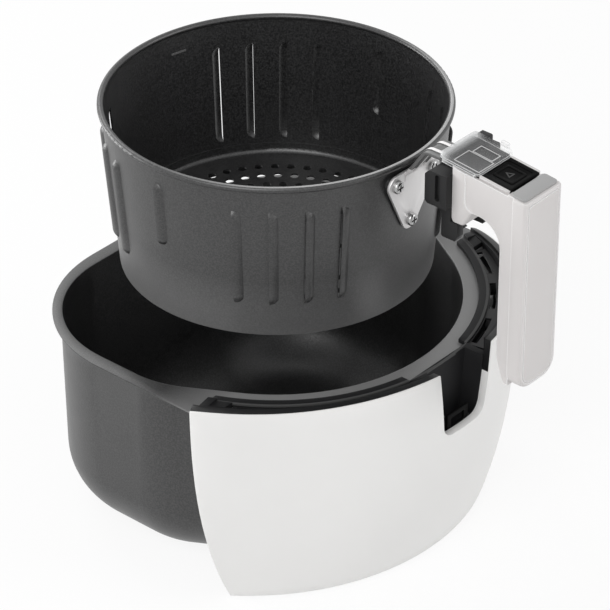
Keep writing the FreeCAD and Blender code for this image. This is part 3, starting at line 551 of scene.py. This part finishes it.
# %% Clear plastic
FROST_FROM = -0.1425
FROST_FULL = -0.136
FROST_SHARE = 0.45
RIM_REACH = 0.0012
RIM_HIGHLIGHT_SHARE = 0.7
FILM = 0.06
SMEARS = 120.0
SMEAR_ROUGH = 0.05
GUARD_GLOSS = 0.06

clear = Finish("clear_guard")
smear = clear.grain(SMEARS, detail=2.0)
back = (clear.along("Y") - FROST_FROM) * (1.0 / (FROST_FULL - FROST_FROM))
frost = clear.between(back, (0.0, 0.0, 0.0), (1.0, 1.0, 1.0))
# Painted highlight: the guard's edges are made solid and pale.
rim_highlight = clear.edges(RIM_REACH)
clear_guard = clear.close(
    Base_Color=clear.between(smear, (0.8, 0.81, 0.815), (0.86, 0.865, 0.87)),
    Roughness=smear * SMEAR_ROUGH + GUARD_GLOSS,
    Alpha=(rim_highlight * RIM_HIGHLIGHT_SHARE).most(frost * FROST_SHARE) + FILM)
print("finishes:", sorted(m.name for m in bpy.data.materials if m.use_nodes))

# %% [markdown]
# ## Edges that catch the light
#
# No moulded or stamped edge is perfectly sharp. Each edge could be rounded in the solid, which makes
# it heavy. The solids arrive as loose triangles, so most are welded instead, their sharp edges get a
# narrow bevel, and the faces between are shaded smooth.

# %% Bevels
WELD_REACH = 0.000005
SHARP = math.radians(32)
EDGE_FACES = 2
NO_EDGE = 0.0
FINE_EDGE = 0.0002
FRAME_EDGE = 0.0003
SOFT_EDGE = 0.0005


def dress(name, finish, edge):
    """Give a solid its finish, smooth faces and bevelled edges of the width given in metres."""
    node = nodes[name]
    node.data.materials.clear()
    node.data.materials.append(finish)
    node.data.polygons.foreach_set("use_smooth", [True] * len(node.data.polygons))
    if edge:
        weld = node.modifiers.new("weld", "WELD")
        weld.merge_threshold = WELD_REACH
        bevel = node.modifiers.new("edge", "BEVEL")
        bevel.width = edge
        bevel.segments = EDGE_FACES
        bevel.limit_method = "ANGLE"
        bevel.angle_limit = SHARP
        split = node.modifiers.new("sharp", "EDGE_SPLIT")
        split.split_angle = SHARP


print("bevels from", FINE_EDGE * 1000, "to", SOFT_EDGE * 1000, "mm")

# %% Dress the solids
DRESS = (
    (pan_coat, FRAME_EDGE, ["pan_bowl"]),
    (basket_coat, NO_EDGE, ["basket_wall"]),
    (nonstick, NO_EDGE, ["basket_floor"]),
    (white_front, SOFT_EDGE, ["front_panel"]),
    (pale_handle, SOFT_EDGE, ["handle_body", "handle_cover"]),
    (grey_trim, FINE_EDGE, ["top_trim"]),
    (black_frame, FRAME_EDGE, ["top_frame"]),
    (charcoal, FRAME_EDGE, ["latch_yoke"]),
    (black_lever, FINE_EDGE, ["latch_hook"]),
    (deck_grey, FINE_EDGE, ["guard_track"]),
    (black_button, FINE_EDGE, ["release_button", "catch_plate"]),
    (two_tone, FINE_EDGE, ["button_bezel"]),
    (clear_guard, NO_EDGE, ["button_guard"]),
    (stamped_steel, FINE_EDGE, ["handle_bracket"]),
    (plated_steel, NO_EDGE, ["frame_screws", "panel_screws", "bracket_screws", "handle_screws",
                             "cover_screws", "latch_pin", "latch_coil"]))

for finish, edge, names in DRESS:
    for name in names:
        dress(name, finish, edge)
print("dressed:", sum(len(names) for finish, edge, names in DRESS), "of", len(nodes))

# %% [markdown]
# ## Small pieces
#
# A few details are too fine for the solids: the fill line on the basket's inner wall, the thin frames
# on the deck, the slotted plates of the black frame and the arrowhead on the button. The return coil
# is made anew as one wound wire. Each is built where it belongs and rides on the body that carries it.

# %% From mesh to piece
JOIN_REACH = 0.000001


def piece(name, bm, finish, body):
    """Close a mesh under construction, and let it ride on a body."""
    bmesh.ops.remove_doubles(bm, verts=bm.verts, dist=JOIN_REACH)
    bmesh.ops.recalc_face_normals(bm, faces=bm.faces)
    mesh = bpy.data.meshes.new(name)
    bm.to_mesh(mesh)
    bm.free()
    mesh.materials.append(finish)
    made = bpy.data.objects.new(name, mesh)
    bpy.context.scene.collection.objects.link(made)
    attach(made, body)
    print(name, "faces:", len(mesh.polygons))
    return made


def shift(bm, grown, rise):
    """Move the points that an extrusion has made up or down."""
    points = [v for v in grown["geom"] if isinstance(v, bmesh.types.BMVert)]
    bmesh.ops.translate(bm, verts=points, vec=(0, 0, rise))


print("pieces join points closer than", JOIN_REACH * 1000, "mm")

# %% [markdown]
# The fill line shows how high food may lie in the basket. A line in the material would do, but a bar
# that stands proud also catches the light. It is a small upright bar swung round the basket's axis.
# The wall leans out towards the rim, so the bar leans with it.

# %% Fill line
LINE_HEIGHT = 0.251
LINE_RADIUS = 0.1009
LINE_TALL = 0.0012
LINE_PROUD = 0.0003
LINE_SUNK = 0.0004
LINE_START = math.radians(164.0)
LINE_SWING = math.radians(6.0)
LINE_STEPS = 8

line_coat = baked_coat("line_coat", (0.09, 0.09, 0.09), (0.14, 0.14, 0.14))
bm = bmesh.new()
corners = []
for up, inwards in ((-0.5, -LINE_SUNK), (0.5, -LINE_SUNK), (0.5, LINE_PROUD), (-0.5, LINE_PROUD)):
    radius = LINE_RADIUS + up * LINE_TALL * WALL_LEAN - inwards
    x, y = radius * math.sin(LINE_START), -radius * math.cos(LINE_START)
    corners.append(bm.verts.new((x, y, LINE_HEIGHT + up * LINE_TALL)))
bar = bm.faces.new(corners)
bmesh.ops.spin(bm, geom=[bar], axis=(0, 0, 1), cent=(0, 0, 0), angle=LINE_SWING, steps=LINE_STEPS)
piece("fill_line", bm, line_coat, "basket")

# %% [markdown]
# The deck under the guard carries two thin raised frames, whose pale colour is a painted highlight.
# Deck and button lie on one slope, so their lines are drawn flat and then tilted onto it. A frame is a
# flat plate with a narrow border: the plate inside the border goes, and the border is raised a little.

# %% Lines on the slope
DECK_PIVOT = (0, -0.162, 0.2815)
DECK_TILT = math.radians(5.6)
SLOPE = Matrix.Translation(DECK_PIVOT) @ Matrix.Rotation(DECK_TILT, 4, "X")


def raised_border(bm, width, rise):
    """Keep only a border of a flat plate, raise it, and leave a closed ring."""
    plate = bm.faces[:][0]
    bmesh.ops.inset_individual(bm, faces=[plate], thickness=width, use_even_offset=True)
    bmesh.ops.delete(bm, geom=[plate], context="FACES")
    shift(bm, bmesh.ops.extrude_face_region(bm, geom=bm.faces[:]), rise)


print("slope:", round(math.degrees(DECK_TILT), 1), "degrees")

# %% Deck frames
HALF_METRE = 0.5
BORDER_WIDTH = 0.0005
BORDER_RISE = 0.0002

# The frames' pale colour is a painted highlight along the deck's pockets.
painted_highlight_line = moulding(
    "painted_highlight_line", (0.6, 0.6, 0.6), (0.7, 0.7, 0.7), gloss=0.3, peel=PEEL_FINE, shine=0.4)


def deck_frame(name, left, right, front, back):
    """A thin raised frame on the deck, from left to right and front to back in metres."""
    bm = bmesh.new()
    made = bmesh.ops.create_grid(bm, x_segments=1, y_segments=1, size=HALF_METRE)
    size = (right - left, back - front, 1.0)
    bmesh.ops.scale(bm, vec=size, verts=made["verts"])
    middle = ((left + right) / 2, (front + back) / 2 - SLOPE.translation.y, 0.0)
    bmesh.ops.translate(bm, vec=middle, verts=made["verts"])
    raised_border(bm, BORDER_WIDTH, BORDER_RISE)
    bmesh.ops.transform(bm, matrix=SLOPE, verts=bm.verts)
    piece(name, bm, painted_highlight_line, "basket")


deck_frame("deck_frame_left", left=-0.01235, right=0.00135, front=-0.16035, back=-0.14215)
deck_frame("deck_frame_right", left=0.00185, right=0.01005, front=-0.15835, back=-0.14415)

# %% [markdown]
# The trays of the black frame are closed by a thin plate with three curved slots, which lies a
# little below the frame's inner lip. The slots could be cut out of a whole plate. It is simpler to
# swing a short row of edges round the basket's axis and to leave out its middle edge where a slot is.
# The plate's outer wall turns about another axis, so its outer points are then moved out to that
# wall. The other plate is the mirror image.

# %% Tray plates
PLATE_TOP = 0.1328
PLATE_THICK = 0.0015
PLATE_INNER = 0.1278
SLOT_INNER = 0.1288
SLOT_OUTER = 0.1326
FRAME_WALL = 0.1314
SLOT_ENDS = (12.6, 13.8, 26.2, 31.0, 43.6, 48.3, 59.4, 60.4)
CELL = 1.2


def frame_wall_at(turn):
    """Distance from the basket's axis to the frame's outer wall, at an angle from the front."""
    along = -PANEL_AXIS * math.cos(turn)
    return along + math.sqrt(along ** 2 - PANEL_AXIS ** 2 + FRAME_WALL ** 2)


def swing_band(bm, start, end, slotted):
    """Swing a row of edges from one angle to another, and move its outer points to the wall."""
    reach = (PLATE_INNER, SLOT_INNER, SLOT_OUTER, frame_wall_at(start))
    row = [bm.verts.new((r * math.sin(start), -r * math.cos(start), PLATE_TOP)) for r in reach]
    edges = [bm.edges.new(pair) for pair in zip(row, row[1:])]
    if slotted:
        bm.edges.remove(edges.pop(1))
    steps = max(1, round(math.degrees(end - start) / CELL))
    known = set(bm.verts)
    bmesh.ops.spin(bm, geom=edges, axis=(0, 0, 1), cent=(0, 0, 0), angle=end - start, steps=steps)
    for point in set(bm.verts) - known:
        if point.co.xy.length > (SLOT_OUTER + reach[3]) / 2:
            turn = math.atan2(point.co.x, -point.co.y)
            point.co.xy = point.co.xy.normalized() * frame_wall_at(turn)


print("slots:", len(SLOT_ENDS) // 2 - 1, "in each plate")

# %% Close the trays
def tray_plate(name, side):
    """One slotted plate, on the side +1 or -1."""
    bm = bmesh.new()
    turns = [math.radians(degrees) for degrees in SLOT_ENDS]
    for part, (start, end) in enumerate(zip(turns, turns[1:])):
        swing_band(bm, start, end, slotted=part % 2)
    bmesh.ops.remove_doubles(bm, verts=bm.verts, dist=JOIN_REACH)
    shift(bm, bmesh.ops.extrude_face_region(bm, geom=bm.faces[:]), -PLATE_THICK)
    bmesh.ops.scale(bm, vec=(side, 1, 1), verts=bm.verts)
    piece(name, bm, charcoal, "pan")


tray_plate("tray_plate_left", -1)
tray_plate("tray_plate_right", 1)

# %% [markdown]
# The return coil under the lever shortens as the button goes down. It is one wire: a small disc swung
# four times round the coil's axis while it climbs. It takes the place of the plain solid, which is
# hidden.

# %% Return coil
COIL_WIRE = 0.0008
WIRE_SIDES = 10
COIL_TURNS = 4
COIL_STEPS = 24

coil_low, coil_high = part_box("latch_coil")
coil_tall = coil_high.z - coil_low.z
coil_reach = (coil_high.x - coil_low.x - COIL_WIRE) / 2
coil_seat = Vector(((coil_low.x + coil_high.x) / 2, (coil_low.y + coil_high.y) / 2, coil_low.z))
coil_steps = COIL_TURNS * COIL_STEPS
climb = (coil_tall - COIL_WIRE) / coil_steps

bm = bmesh.new()
bmesh.ops.create_circle(bm, cap_ends=True, segments=WIRE_SIDES, radius=COIL_WIRE / 2)
upright = Matrix.Rotation(math.pi / 2, 4, "X")
foot = Matrix.Translation(coil_seat + Vector((coil_reach, 0, COIL_WIRE / 2)))
bmesh.ops.transform(bm, matrix=foot @ upright, verts=bm.verts)
bmesh.ops.spin(bm, geom=bm.faces[:], axis=(0, 0, 1), cent=coil_seat, dvec=(0, 0, climb),
               angle=math.tau * COIL_TURNS, steps=coil_steps)
for face in bm.faces:
    face.smooth = len(face.verts) == 4
coil = piece("return_coil", bm, plated_steel, "basket")
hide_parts("latch_coil")
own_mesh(coil)

# %% [markdown]
# The button carries a plain arrowhead, which tells the thumb where to press. It is a three-sided
# plate with only its border left, as on the deck, and it moves with the button.

# %% Arrowhead on the button
MARK_AT = Vector((0.0, -0.0107, -0.0007))
MARK_RADIUS = 0.0032
MARK_LINE = 0.0007
MARK_RISE = 0.00012

soft_mark = moulding(
    "soft_mark", (0.05, 0.05, 0.05), (0.06, 0.06, 0.06), gloss=0.3, peel=PEEL_FINE, shine=0.2)
bm = bmesh.new()
bmesh.ops.create_circle(bm, cap_ends=True, segments=3, radius=MARK_RADIUS)
raised_border(bm, MARK_LINE, MARK_RISE)
bmesh.ops.transform(bm, matrix=SLOPE @ Matrix.Translation(MARK_AT), verts=bm.verts)
piece("button_mark", bm, soft_mark, "button")
